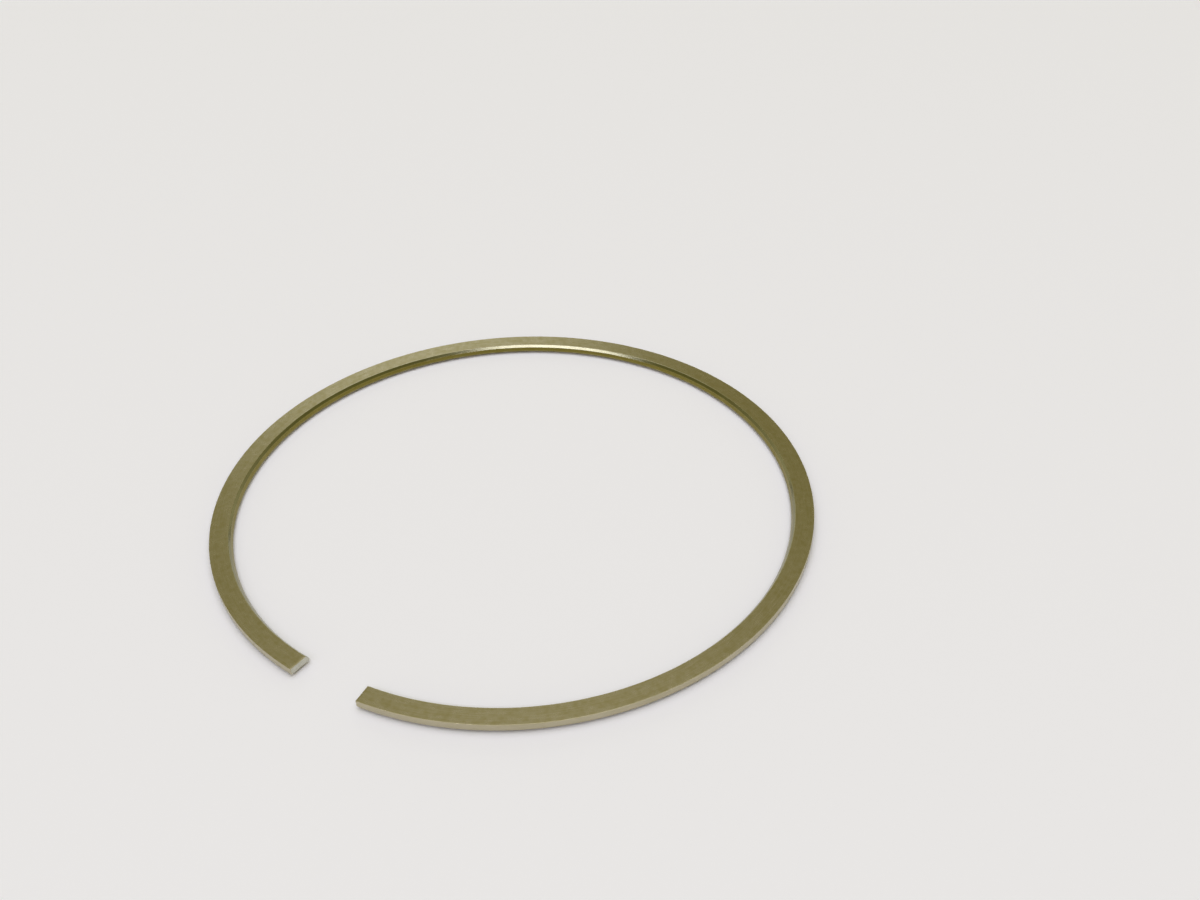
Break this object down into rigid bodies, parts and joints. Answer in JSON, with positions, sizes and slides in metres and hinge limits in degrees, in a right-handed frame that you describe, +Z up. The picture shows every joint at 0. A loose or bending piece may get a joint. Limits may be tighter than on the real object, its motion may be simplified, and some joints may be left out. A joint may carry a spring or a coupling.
{
  "type": "piston ring",
  "caption": "Split steel compression ring in its free, open state, with square-cut ends, an inner bevel on the upper side and a barrel running face.",
  "frame": {"origin": "middle of the ring's box, on the lower side that it lies on", "axes": "+Z up along the bore, towards the side with the inner bevel; the gap faces -Y and the back +Y"},
  "size_m": [0.1004, 0.0982, 0.0012],
  "materials": {
    "nitrided_steel": "satin, lapped and nitrided"
  },
  "bodies": {
    "root": {"piston_ring": "nitrided_steel"}
  },
  "joints": []
}
